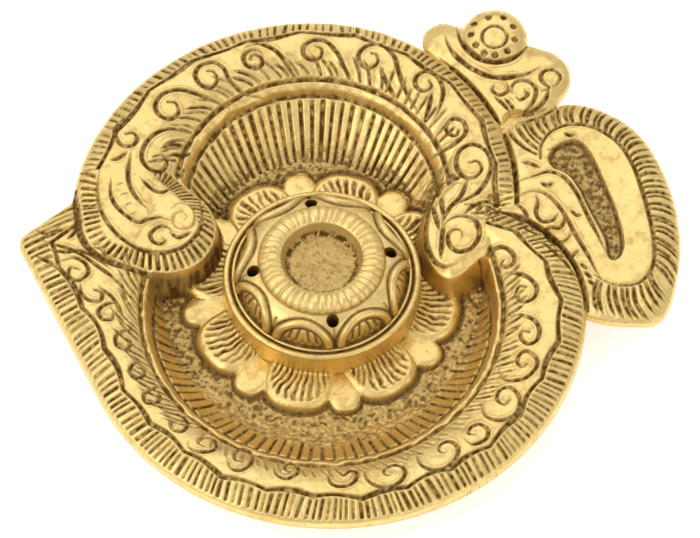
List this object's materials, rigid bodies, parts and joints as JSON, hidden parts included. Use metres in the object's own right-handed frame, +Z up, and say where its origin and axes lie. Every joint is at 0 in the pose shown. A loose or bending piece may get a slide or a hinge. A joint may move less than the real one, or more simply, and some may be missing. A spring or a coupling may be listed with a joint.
{
  "type": "incense stick holder",
  "caption": "Cast Om-shaped incense dish with scroll relief, a lotus floor and a screwed-on dome with stick holes and a cone cup.",
  "frame": {"origin": "on the dome's axis, on the flat face the dish stands on", "axes": "+X towards the hook at the right, +Y towards the crescent at the back, +Z up"},
  "size_m": [0.1388, 0.1265, 0.0178],
  "materials": {
    "antique_gold": "polished gold tone on the raised carving, brown-black patina in the grooves",
    "screw_steel": "plain zinc-plated steel"
  },
  "bodies": {
    "plate": {"om_plate": "antique_gold"},
    "dome": {"stick_holder": "antique_gold"},
    "washer": {"washer": "screw_steel"},
    "screw": {"fixing_screw": "screw_steel"}
  },
  "joints": [
    {"name": "dome_lift", "type": "slide", "parent": "plate", "child": "dome", "axis": [0, 0, 1], "range_m": [0, 0.03]},
    {"name": "washer_drop", "type": "slide", "parent": "plate", "child": "washer", "axis": [0, 0, -1], "range_m": [0, 0.0042]},
    {"name": "screw_turn", "type": "hinge", "parent": "washer", "child": "screw", "pos_m": [0, 0, 0.005], "axis": [0, 0, -1], "range_deg": [0, 2160]}
  ],
  "couplings": [
    {"joint": "screw_turn", "follows": "washer_drop", "rad_per_m": 8975.9}
  ]
}
